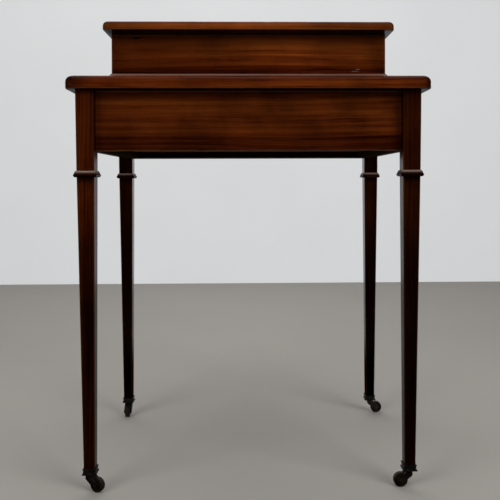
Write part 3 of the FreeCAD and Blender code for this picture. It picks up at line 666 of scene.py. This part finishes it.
# %% [markdown]
# Drawer linings are oak, left without polish: a pale straw brown, with coarse pores in lines and a darker
# tide of dust and ink where things have slid about. They could share the mahogany's recipe in other
# colours, but oak is matt and coarser, so it gets a shorter one, with no gloss and a deeper relief. Its
# undersides are darkened almost to black, partly age and partly painted shade under the desk, and so are
# the runners, except where the drawer slides on them.

# %% Oak linings
OAK_DARK = (0.105, 0.058, 0.024)
OAK = (0.235, 0.142, 0.066)
OAK_PALE = (0.335, 0.222, 0.112)
OAK_STAIN = (0.07, 0.042, 0.02)
OAK_TONES = [(0.36, OAK_DARK), (0.52, OAK), (0.70, OAK_PALE)]
OAK_STREAK_STRETCH = (2.2, 60.0, 60.0)
OAK_FIBRE_STRETCH = (30.0, 800.0, 800.0)
OAK_PORE_STRETCH = (45.0, 1300.0, 1300.0)
OAK_FIBRE_HEIGHT, OAK_PORE_DEPTH = 0.00006, 0.00012
RUNNER_WORN = 0.002


def oak(name, along, seed, pale_from):
    """Bare old oak, darkened below a height, partly age and partly painted shade."""
    material, wire = new_finish(name)
    grain = log_place(wire, along, seed)
    streak = cloud(stretched(grain, OAK_STREAK_STRETCH), detail=4.0, roughness=0.6)
    fibre = cloud(stretched(grain, OAK_FIBRE_STRETCH), detail=3.0, roughness=0.65)
    pore = step(cloud(stretched(grain, OAK_PORE_STRETCH), detail=1.0), 0.56, 0.66)
    colour = ramp(streak * 0.7 + fibre * 0.4 - 0.05, OAK_TONES)
    colour = mixed(pore * 0.6, colour, paint(*OAK_DARK))
    stain = cloud(place_of(wire), scale=7.0, detail=4.0, roughness=0.65)
    colour = mixed(step(stain, 0.48, 0.72) * 0.45, colour, paint(*OAK_STAIN))
    # Below this height the oak is darkened: partly age, partly painted shade under the desk.
    aged_and_shaded = step(height_of(wire), pale_from + FACE_NEAR, pale_from + FACE_FAR, BARE_AND_SHADE, 1.0)
    height = fibre * OAK_FIBRE_HEIGHT - pore * OAK_PORE_DEPTH
    polish(wire, Base_Color=scaled(colour, aged_and_shaded), Roughness=0.62 + fibre * 0.2, Normal=relief(height),
           Specular_IOR_Level=0.0)
    return material


linings = {
    "drawer_runners": ALONG_Y, "drawer_guides": ALONG_Y, "drawer_kickers": ALONG_Y, "drawer_stops": ALONG_X,
    "frieze_drawer_left_side": ALONG_Y, "frieze_drawer_right_side": ALONG_Y,
    "frieze_drawer_back": ALONG_X, "frieze_drawer_bottom": ALONG_X,
}
for place in ("left", "middle", "right"):
    linings[place + "_drawer_walls"] = ALONG_Y
    linings[place + "_drawer_bottom"] = ALONG_X
for seed, (name, along) in enumerate(linings.items(), 2):
    low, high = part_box(name)
    pale_from = high.z - RUNNER_WORN if name == "drawer_runners" else low.z
    dress(name, oak("oak_" + name, along, seed, pale_from))
print("linings dressed:", len(linings))

# %% [markdown]
# The castors and knobs are brass, gone dull: brown where the lacquer has darkened, greenish black in the
# hollows, bright only where fingers or the floor have rubbed it. One brown colour would look like plastic:
# metal takes its colour from what it mirrors, so most of the looks come from an uneven roughness. The
# castors are dirtier than the knobs, so the share of dirt is a number that each piece is given. The screws
# inside the desk are plain steel with a little rust.

# %% Brass and steel
BRASS = (0.400, 0.255, 0.090)
BRASS_BROWN = (0.105, 0.060, 0.026)
BRASS_BLACK = (0.0045, 0.0042, 0.0036)
STEEL = (0.24, 0.23, 0.22)
RUST = (0.085, 0.032, 0.014)
TURNING_STRETCH = (300.0, 300.0, 2200.0)
GRIT_HEIGHT, TURNING_HEIGHT, RUST_HEIGHT = 0.00004, 0.000006, 0.00004
CASTOR_DIRT = {"cup": 0.94, "horn": 0.88, "axle": 0.80, "wheel": 0.87}
KNOB_DIRT = 0.12
CORNERS = ("front_left", "front_right", "back_left", "back_right")
KNOBS = ("frieze_drawer_knobs", "left_drawer_knob", "middle_drawer_knob", "right_drawer_knob")


def brass(name, dirt):
    """Old brass under brown lacquer and dirt."""
    material, wire = new_finish(name)
    here = place_of(wire)
    patch = cloud(here, scale=70.0, detail=4.0, roughness=0.65)
    grit = cloud(here, scale=600.0, detail=3.0, roughness=0.6)
    brown = step(patch + dirt * 0.5, 0.45, 0.80)
    black = step(patch * 0.5 + grit * 0.5 + dirt * 0.45, 0.66, 0.90)
    colour = mixed(brown, paint(*BRASS), paint(*BRASS_BROWN))
    colour = mixed(black, colour, paint(*BRASS_BLACK))
    turning = cloud(stretched(here, TURNING_STRETCH), detail=1.0)
    height = grit * GRIT_HEIGHT + turning * TURNING_HEIGHT
    polish(wire, Base_Color=colour, Metallic=1.0 - black * 0.75,
           Roughness=0.24 + brown * 0.16 + black * 0.22, Normal=relief(height))
    return material


def rusty_steel(name):
    """Old screws: grey steel with a bloom of rust."""
    material, wire = new_finish(name)
    bloom = cloud(place_of(wire), scale=420.0, detail=4.0, roughness=0.7)
    share = step(bloom, 0.45, 0.62)
    colour = mixed(share, paint(*STEEL), paint(*RUST))
    polish(wire, Base_Color=colour, Metallic=1.0 - share * 0.8, Roughness=0.35 + share * 0.45,
           Normal=relief(bloom * RUST_HEIGHT))
    return material


for piece, dirt in CASTOR_DIRT.items():
    finish = brass("brass_" + piece, dirt)
    for corner in CORNERS:
        dress("castor_" + piece + "_" + corner, finish)
knob_brass = brass("brass_knob", KNOB_DIRT)
for name in KNOBS:
    dress(name, knob_brass)
screw_steel = rusty_steel("screw_steel")
for name in ("top_screws", "upper_screws"):
    dress(name, screw_steel)
print("brass finishes:", len(CASTOR_DIRT) + 1)

# %% [markdown]
# The two tops are the boards that the eye meets first, and their arrises are not perfect: long use has
# dented them. A bump in the material could suggest that, but the outline would stay straight, so these two
# boards are built again here as rings. Each ring is a rectangle with round corners, and its points are set
# close together, so that the arris can be dented everywhere and chipped deeper in places. Rings that follow
# the rounded edge from the underside to the top are then joined by quads.

# %% Rings and lofts
CORNER_STEPS = 8


def side_counts(low, high, spacing):
    """How many points lie along the two sides of a rectangle."""
    return [max(2, round((high[axis] - low[axis]) / spacing)) for axis in (0, 1)]


def rectangle_points(low, high, corner, counts):
    """Points round a rectangle with round corners, anticlockwise, with a fixed count along each side."""
    points = []
    middles = (
        (high[0] - corner, low[1] + corner),
        (high[0] - corner, high[1] - corner),
        (low[0] + corner, high[1] - corner),
        (low[0] + corner, low[1] + corner),
    )
    for index, (x, y) in enumerate(middles):
        arc = []
        for turn in range(CORNER_STEPS + 1):
            angle = math.pi / 2 * (index - 1 + turn / CORNER_STEPS)
            arc.append(Vector((x + corner * math.cos(angle), y + corner * math.sin(angle))))
        if points:
            points.extend(between(points[-1], arc[0], counts[index % 2]))
        points.extend(arc)
    points.extend(between(points[-1], points[0], counts[0]))
    return points


def between(start, end, count):
    """Points between two others, without them."""
    return [start.lerp(end, index / count) for index in range(1, count)]


def loft(name, rings, material, body="carcass"):
    """A closed piece from rings of as many points each, capped at both ends."""
    mesh = bmesh.new()
    loops = [[mesh.verts.new(point) for point in ring] for ring in rings]
    for lower, upper in zip(loops, loops[1:]):
        for index in range(len(lower)):
            after = (index + 1) % len(lower)
            mesh.faces.new((lower[index], lower[after], upper[after], upper[index]))
    mesh.faces.new(list(reversed(loops[0])))
    mesh.faces.new(loops[-1])
    data = bpy.data.meshes.new(name)
    mesh.to_mesh(data)
    mesh.free()
    data.materials.append(material)
    piece = bpy.data.objects.new(name, data)
    bpy.context.scene.collection.objects.link(piece)
    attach(piece, body)
    return piece


def smooth_by_angle(piece, degrees):
    """Shade a piece smooth, but for the edges that turn by more than an angle."""
    data = piece.data
    data.polygons.foreach_set("use_smooth", [True] * len(data.polygons))
    data.set_sharp_from_angle(angle=math.radians(degrees))


print("rings and lofts are ready")

# %% [markdown]
# The edge of a top is a flat band with a large round above it and a small one below. Its profile is a list
# of steps, each with its inset, its height and how much it is exposed to knocks. Two noises dent the round
# a little everywhere, and a chip is a place, a length and a depth. The dents could be carved by hand, but
# a rule wears the whole edge alike, and the list of chips is easy to change.

# %% Worn arrises
POINT_SPACING = 0.004
ARC_STEPS = 6
UNDERSIDE_LIFT = 0.00012
DENT = 0.0003
DENT_LEVEL, DENT_ROUGH, DENT_FINE = 0.35, 0.9, 0.4
ROUGH_ACROSS, ROUGH_UP = 45, 60
FINE_ACROSS, FINE_UP = 210, 240
DENT_DROP = 0.7
BAND_EXPOSED = 0.25
CORNER_LEAST = 0.001
RECESS_CORNER = 0.0008
TOP_SMOOTH = 40

Chip = namedtuple("Chip", "x y length depth")


def edge_profile(low_z, high_z, lower_round, upper_round):
    """Inset, height and exposure to knocks of each ring up a rounded edge."""
    angles = [math.pi / 2 * index / ARC_STEPS for index in range(ARC_STEPS + 1)]
    profile = []
    for angle in angles:
        inset = lower_round * (1 - math.sin(angle))
        height = low_z + lower_round * (1 - math.cos(angle))
        profile.append((inset, height, 0.0))
    for angle in angles:
        inset = upper_round * (1 - math.cos(angle))
        height = high_z - upper_round * (1 - math.sin(angle))
        profile.append((inset, height, math.sin(2 * angle) if angle else BAND_EXPOSED))
    return profile


def dent_at(point, height, chips, seed):
    """How deep the arris is worn at a point."""
    rough = noise.noise(Vector((point.x * ROUGH_ACROSS + seed, point.y * ROUGH_ACROSS, height * ROUGH_UP)))
    fine = noise.noise(Vector((point.x * FINE_ACROSS, point.y * FINE_ACROSS + seed, height * FINE_UP)))
    depth = DENT * max(0.0, DENT_LEVEL + DENT_ROUGH * rough + DENT_FINE * fine)
    for chip in chips:
        away = math.hypot(point.x - chip.x, point.y - chip.y) / (chip.length / 2)
        if away < 1:
            depth += chip.depth * (1 - away * away) * (0.8 + 0.4 * fine)
    return depth


def worn_top(name, node, corner, upper_round, lower_round, material, chips=(), recess=None, seed=0.0):
    """A table board with rounded, dented arrises, and a shallow recess for a leather skin."""
    low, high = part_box(node)
    counts = side_counts(low, high, POINT_SPACING)
    outline = rectangle_points(low, high, corner, counts)
    middle = (low + high) / 2
    rings = []
    for inset, height, exposed in edge_profile(low.z + UNDERSIDE_LIFT, high.z, lower_round, upper_round):
        inner = Vector((inset, inset, 0))
        flat = rectangle_points(low + inner, high - inner, max(corner - inset, CORNER_LEAST), counts)
        ring = []
        for point, outer in zip(flat, outline):
            depth = exposed * dent_at(outer, height, chips, seed)
            inward = Vector((middle.x - point.x, middle.y - point.y)).normalized() * depth
            ring.append(Vector((point.x + inward.x, point.y + inward.y, height - depth * DENT_DROP)))
        rings.append(ring)
    if recess:
        lip_low, lip_high, floor = recess
        lip = rectangle_points(lip_low, lip_high, RECESS_CORNER, counts)
        rings.append([Vector((p.x, p.y, high.z)) for p in lip])
        rings.append([Vector((p.x, p.y, floor)) for p in lip])
    piece = loft(name, rings, material)
    smooth_by_angle(piece, TOP_SMOOTH)
    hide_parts(node)
    return piece


print("rings up an edge:", 2 * (ARC_STEPS + 1))

# %% [markdown]
# Now the two tops are built. The chips could be pushed into the plain boards, but those stay as the cabinet
# maker left them, so the new boards take their place. The writing top has a shallow recess for its leather
# and a few chips, half of them along the back. The upper top is thinner, with a tighter round and an orange
# edge that is lighter in the middle, with a painted band of light along it. Both have the same mahogany as
# the other boards, and their undersides are left without polish too, and darkened, partly painted shade.

# %% Tops
leather_low, leather_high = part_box("writing_leather")
top_low, top_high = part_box("writing_top")
upper_low, upper_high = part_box("upper_top")
TOP_CORNER, TOP_ROUND, TOP_LOWER_ROUND = 0.018, 0.0095, 0.003
UPPER_CORNER, UPPER_ROUND, UPPER_LOWER_ROUND = 0.010, 0.0075, 0.0015
TOP_UNDER_LOST, UPPER_UNDER_LOST = 0.75, 0.50
TOP_SEED, UPPER_SEED = 2.0, 9.0
TOP_FADES = (Fade(0.255, 0.310, 0.28), Fade(-0.294, -0.313, 0.38))
# A painted band of light along the middle of the upper top's front edge.
UPPER_BANDS = (Band(0.7995, 0.8125, 0.15),)
UPPER_FADES = (Fade(0.08, 0.25, 0.70), Fade(0.04, -0.20, 0.52))
TOP_CHIPS = [
    Chip(-0.200, top_high.y, 0.010, 0.0009),
    Chip(-0.218, top_high.y, 0.014, 0.0007),
    Chip(0.118, top_high.y, 0.008, 0.0006),
    Chip(top_low.x, 0.09, 0.016, 0.0014),
    Chip(top_high.x, -0.14, 0.014, 0.0012),
    Chip(0.06, top_low.y, 0.012, 0.0011),
]
UPPER_CHIPS = [Chip(-0.03, upper_high.y, 0.012, 0.0010)]

top_wood = mahogany("mahogany_writing_top", Wood(ALONG_X, 100, 1.08, 0.25, fades=TOP_FADES),
                    lambda wire: board_edge(wire, top_low, top_high),
                    bare_and_shaded=unpolished_and_shaded(top_low, top_high), lost=TOP_UNDER_LOST)
upper_wood = mahogany("mahogany_upper_top", Wood(ALONG_X, 83, 1.25, 0.30, UPPER_BANDS, fades=UPPER_FADES),
                      lambda wire: board_edge(wire, upper_low, upper_high),
                      bare_and_shaded=unpolished_and_shaded(upper_low, upper_high), lost=UPPER_UNDER_LOST)
writing_board = worn_top("writing_board", "writing_top", TOP_CORNER, TOP_ROUND, TOP_LOWER_ROUND, top_wood,
                         TOP_CHIPS, (leather_low, leather_high, leather_low.z), seed=TOP_SEED)
upper_board = worn_top("upper_board", "upper_top", UPPER_CORNER, UPPER_ROUND, UPPER_LOWER_ROUND, upper_wood,
                       UPPER_CHIPS, seed=UPPER_SEED)
print("faces of the tops:", len(writing_board.data.polygons), len(upper_board.data.polygons))

# %% [markdown]
# The writing surface is a skin of green leather, sunk flush in the top and tooled round its border with
# two gilt lines and a row of small gilt lozenges. The lines could be colour alone, but a real tool presses
# them in, so they are grooves in the mesh, made with the same rings as the boards. The gilding is a colour
# that the material lays in the grooves, because both read the same distance from the skin's edge. A fine
# pebble and paler, rubbed patches make it leather.

# %% Leather
LEATHER_GREEN = (0.0105, 0.0230, 0.0100)
LEATHER_WORN = (0.0400, 0.0520, 0.0240)
LEATHER_DARK = (0.004, 0.009, 0.004)
GILT = (0.560, 0.360, 0.110)
GROOVES = (0.010, 0.0215)
GROOVE_HALF = 0.0007
LINE_FULL, LINE_NONE = GROOVE_HALF * 0.7, GROOVE_HALF * 1.15
LOZENGE_LINE = 0.01575
LOZENGE_PITCH = 0.009
LOZENGE_IN, LOZENGE_OUT = 0.0020, 0.0024
LOZENGE_START = 100.0
SIDE_SOFT = 0.0001
PEBBLE_DEPTH, CREASE_HEIGHT, GILT_DEPTH = 0.00006, 0.00010, 0.00006


def border_distance(wire, low, high):
    """Distance of a point on a flat rectangle from its edge, and which pair of sides is nearer."""
    x, y, _ = parts_of(place_of(wire))
    across = (high.x - low.x) / 2 - abs(x - (low.x + high.x) / 2)
    along = (high.y - low.y) / 2 - abs(y - (low.y + high.y) / 2)
    return wire.sum("MINIMUM", across, along), across - along


def gilding(wire):
    """Share of gilt on the leather: two lines and a row of lozenges, flaked in places."""
    here = place_of(wire)
    inset, side = border_distance(wire, leather_low, leather_high)
    lines = [step(abs(inset - groove), LINE_FULL, LINE_NONE, 1.0, 0.0) for groove in GROOVES]
    x, y, _ = parts_of(here)
    run = x * step(side, -SIDE_SOFT, SIDE_SOFT) + y * step(side, -SIDE_SOFT, SIDE_SOFT, 1.0, 0.0)
    beat = abs(wire.sum("FRACT", run / LOZENGE_PITCH + LOZENGE_START) - 0.5) * LOZENGE_PITCH
    lozenge = step(beat + abs(inset - LOZENGE_LINE), LOZENGE_IN, LOZENGE_OUT, 1.0, 0.0)
    flaked = step(cloud(here, scale=160.0, detail=3.0, roughness=0.7), 0.36, 0.50)
    return wire.sum("MAXIMUM", wire.sum("MAXIMUM", *lines), lozenge) * flaked


def tooled_leather():
    """Green leather with a gilt border."""
    material, wire = new_finish("tooled_leather")
    here = place_of(wire)
    pebble = here.node("ShaderNodeTexVoronoi", {"feature": "SMOOTH_F1"},
                       {"Vector": here, "Scale": 900.0, "Smoothness": 0.4}, "Distance")
    crease = cloud(here, scale=120.0, detail=4.0, roughness=0.6)
    patch = cloud(here, scale=8.0, detail=3.0, roughness=0.55)
    worn = step(patch + crease * 0.25, 0.58, 0.85)
    colour = mixed(worn, paint(*LEATHER_GREEN), paint(*LEATHER_WORN))
    colour = mixed(step(pebble, 0.25, 0.75) * 0.5, colour, paint(*LEATHER_DARK))
    gilded = gilding(wire)
    colour = mixed(gilded, colour, paint(*GILT))
    height = crease * CREASE_HEIGHT - pebble * PEBBLE_DEPTH - gilded * GILT_DEPTH
    polish(wire, Base_Color=colour, Metallic=gilded, Roughness=0.46 + worn * 0.14 - gilded * 0.14,
           Normal=relief(height), Specular_IOR_Level=0.4)
    return material


leather = tooled_leather()
print("leather finish with", len(leather.node_tree.nodes), "boxes")

# %% [markdown]
# The skin itself is a thin closed piece, a little smaller than its recess and a hair below the wood. A flat
# sheet would do from above, but its edge would look like paper, so the skin has its thickness. Its rings go
# up the side, over a small bevel and down and up again through each groove.

# %% Leather skin
SKIN_GAP = 0.0003
SKIN_LIFT = 0.0001
SKIN_SINK = 0.00015
SKIN_CORNER = 0.0008
SKIN_SPACING = 0.006
SKIN_BEVEL_DOWN, SKIN_BEVEL_IN = 0.0004, 0.0005
GROOVE_DEPTH = 0.00035
GROOVE_LIP, GROOVE_FLOOR = 1.6 * GROOVE_HALF, 0.6 * GROOVE_HALF
SKIN_SMOOTH = 50


def leather_skin(material):
    """Leather skin with grooves pressed round its border."""
    low = leather_low + Vector((SKIN_GAP, SKIN_GAP, SKIN_LIFT))
    high = leather_high - Vector((SKIN_GAP, SKIN_GAP, SKIN_SINK))
    counts = side_counts(low, high, SKIN_SPACING)
    steps = [(0.0, low.z), (0.0, high.z - SKIN_BEVEL_DOWN), (SKIN_BEVEL_IN, high.z)]
    for groove in GROOVES:
        inset = groove - SKIN_GAP
        steps += [
            (inset - GROOVE_LIP, high.z), (inset - GROOVE_FLOOR, high.z - GROOVE_DEPTH),
            (inset + GROOVE_FLOOR, high.z - GROOVE_DEPTH), (inset + GROOVE_LIP, high.z),
        ]
    rings = []
    for inset, height in steps:
        inner = Vector((inset, inset, 0))
        flat = rectangle_points(low + inner, high - inner, SKIN_CORNER, counts)
        rings.append([Vector((p.x, p.y, height)) for p in flat])
    piece = loft("writing_skin", rings, material)
    smooth_by_angle(piece, SKIN_SMOOTH)
    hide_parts("writing_leather")
    return piece


skin = leather_skin(leather)
print("leather", [round(v, 4) for v in leather_high - leather_low], "faces", len(skin.data.polygons))

# %% [markdown]
# The studio is plain: a pale floor and a pale wall a good way behind the desk. Polish mirrors whatever lies
# around it, so the wall matters: it glows softly, and it lights up the undersides and the inner faces of
# the legs at a glancing angle. The floor is two sheets that meet under the desk, and polish doesn't mirror
# the near one, which keeps the legs dark where they face us. One sheet would be simpler, but it would veil
# them.

# %% Floor and wall
WALL_Y = -2.34
FLOOR_SPLIT = 0.20
STUDIO_WIDTH = 14.0
WALL_HEIGHT = 6.0
WALL_GLOW = 1.50
FLOOR = (0.305, 0.292, 0.276)
WALL = (0.298, 0.304, 0.310)
MOTTLE = 0.01

half = STUDIO_WIDTH / 2
wall_half = half / 3


def studio_sheet(name, corners, colour, glow=0.0):
    """A flat sheet of the studio with a plain matt finish, which may glow softly."""
    mesh = bmesh.new()
    mesh.faces.new([mesh.verts.new(corner) for corner in corners])
    data = bpy.data.meshes.new(name)
    mesh.to_mesh(data)
    mesh.free()
    material, wire = new_finish(name)
    mottle = cloud(place_of(wire), scale=2.2, detail=3.0)
    shade = step(mottle, 0.3, 0.7, 1 - MOTTLE, 1 + MOTTLE)
    polish(wire, Base_Color=scaled(colour, shade), Roughness=0.9, Specular_IOR_Level=0.1,
           Emission_Color=scaled(colour, shade), Emission_Strength=glow)
    data.materials.append(material)
    sheet = bpy.data.objects.new(name, data)
    bpy.context.scene.collection.objects.link(sheet)
    return sheet


def floor_sheet(name, start, end):
    """A strip of floor between two depths."""
    return studio_sheet(name, [(-half, start, 0), (half, start, 0), (half, end, 0), (-half, end, 0)], FLOOR)


floor_sheet("studio_floor", WALL_Y, FLOOR_SPLIT)
near_floor = floor_sheet("near_floor", FLOOR_SPLIT, half)
near_floor.visible_glossy = False
studio_sheet("studio_wall", [
    (-wall_half, WALL_Y, 0), (-wall_half, WALL_Y, WALL_HEIGHT),
    (wall_half, WALL_Y, WALL_HEIGHT), (wall_half, WALL_Y, 0),
], WALL, WALL_GLOW)
print("wall", WALL_Y, "floor split at", FLOOR_SPLIT)

# %% [markdown]
# The lights are large and soft: one overhead, two panels at the sides, and one for the drawer side. A real
# panel would show in the polish as a white patch, so these are hidden from it, and one faint light overhead
# gives the tops their gloss. The air of the studio is pale to the eye but dim to the polish, which keeps
# the mahogany deep and red.

# %% Lights
LIGHT_TINT = (1.0, 0.98, 0.95)
AIR_TINT = (0.97, 0.99, 1.0)
AIR_SEEN, AIR_SOFT = 0.60, 0.05

Lamp = namedtuple("Lamp", "place aim width height watts mirrored")
LAMPS = {
    "overhead": Lamp((0.0, 0.8, 3.2), (0.0, 0.8, 0.0), 3.4, 3.4, 50.0, False),
    "gloss": Lamp((0.0, 0.2, 3.0), (0.0, 0.2, 0.0), 3.0, 3.0, 8.0, True),
    "right_panel": Lamp((-2.2, 2.4, 1.75), (0.0, 0.2, 0.70), 1.8, 1.5, 72.0, False),
    "left_panel": Lamp((2.2, 2.4, 1.75), (0.0, 0.2, 0.70), 1.8, 1.5, 50.0, False),
    "drawer_side": Lamp((0.3, -1.9, 2.3), (0.0, 0.0, 0.40), 2.4, 1.2, 25.0, False),
}


def soft_light(name, lamp):
    """A large rectangular soft light, turned to a point, which polish may mirror or not."""
    data = bpy.data.lights.new(name, "AREA")
    data.shape = "RECTANGLE"
    data.size = lamp.width
    data.size_y = lamp.height
    data.energy = lamp.watts
    data.color = LIGHT_TINT
    light = bpy.data.objects.new(name, data)
    light.location = lamp.place
    light.rotation_euler = (Vector(lamp.aim) - Vector(lamp.place)).to_track_quat("-Z", "Y").to_euler()
    light.visible_glossy = lamp.mirrored
    bpy.context.scene.collection.objects.link(light)


for name, lamp in LAMPS.items():
    soft_light(name, lamp)

world = bpy.data.worlds.new("studio_air")
world.use_nodes = True
world.node_tree.nodes.clear()
air = Wire(world.node_tree)
seen = air.node("ShaderNodeLightPath", out="Is Camera Ray")
strength = seen * AIR_SEEN + (1 - seen.of("Is Glossy Ray")) * AIR_SOFT
background = air.node("ShaderNodeBackground", sockets={"Color": paint(*AIR_TINT), "Strength": strength})
air.node("ShaderNodeOutputWorld", sockets={"Surface": background})
bpy.context.scene.world = world
bpy.context.scene.view_settings.view_transform = "Standard"
print("lights:", [light.name for light in bpy.data.objects if light.type == "LIGHT"])
